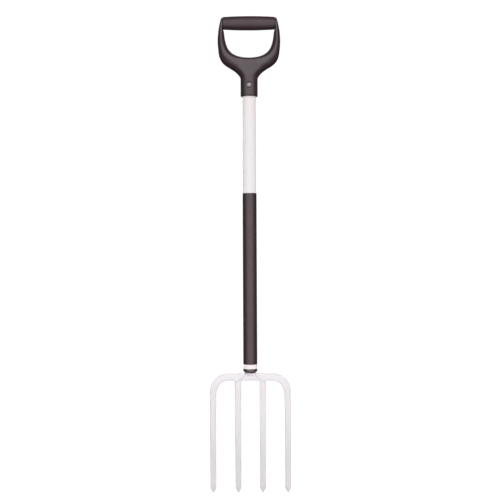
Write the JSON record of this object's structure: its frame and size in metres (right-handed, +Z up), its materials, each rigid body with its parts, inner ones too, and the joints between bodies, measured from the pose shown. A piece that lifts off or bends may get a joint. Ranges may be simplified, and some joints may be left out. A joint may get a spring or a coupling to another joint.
{
  "type": "digging fork",
  "caption": "Garden digging fork with a D-shaped handle, a coated tube shaft with a plastic sleeve, and a welded steel head of long flat tines.",
  "frame": {"origin": "on the shaft's axis, at the flat underside of the palm, the bridge between the two middle tines", "axes": "+Z up the shaft towards the handle, +X across the tines to the right seen from the front, +Y towards the side the tine tips sweep to; the front of the tool faces -Y"},
  "size_m": [0.1926, 0.0634, 1.1289],
  "materials": {
    "head_steel": "off-white powder coat, satin",
    "tube_coating": "off-white powder coat on aluminium, satin gloss",
    "sleeve_plastic": "dark warm grey plastic, satin",
    "collar_plastic": "dark warm grey plastic, satin",
    "handle_plastic": "dark grey moulded plastic, fine texture",
    "grip_plastic": "soft-touch dark grey over-moulding",
    "rivet_aluminium": "plain rivet aluminium, slightly dull",
    "pin_steel": "plain zinc-plated steel"
  },
  "bodies": {
    "root": {"centre_forging": "head_steel", "outer_tine_right": "head_steel", "outer_tine_left": "head_steel", "weld_bead_right": "head_steel", "weld_bead_left": "head_steel", "tang_bush_collar": "collar_plastic", "tang_cross_pin": "pin_steel", "shaft_tube": "tube_coating", "shaft_sleeve": "sleeve_plastic", "handle_yoke": "handle_plastic", "grip_cover": "grip_plastic", "handle_rivet_body": "rivet_aluminium", "handle_rivet_mandrel": "pin_steel"}
  },
  "joints": []
}
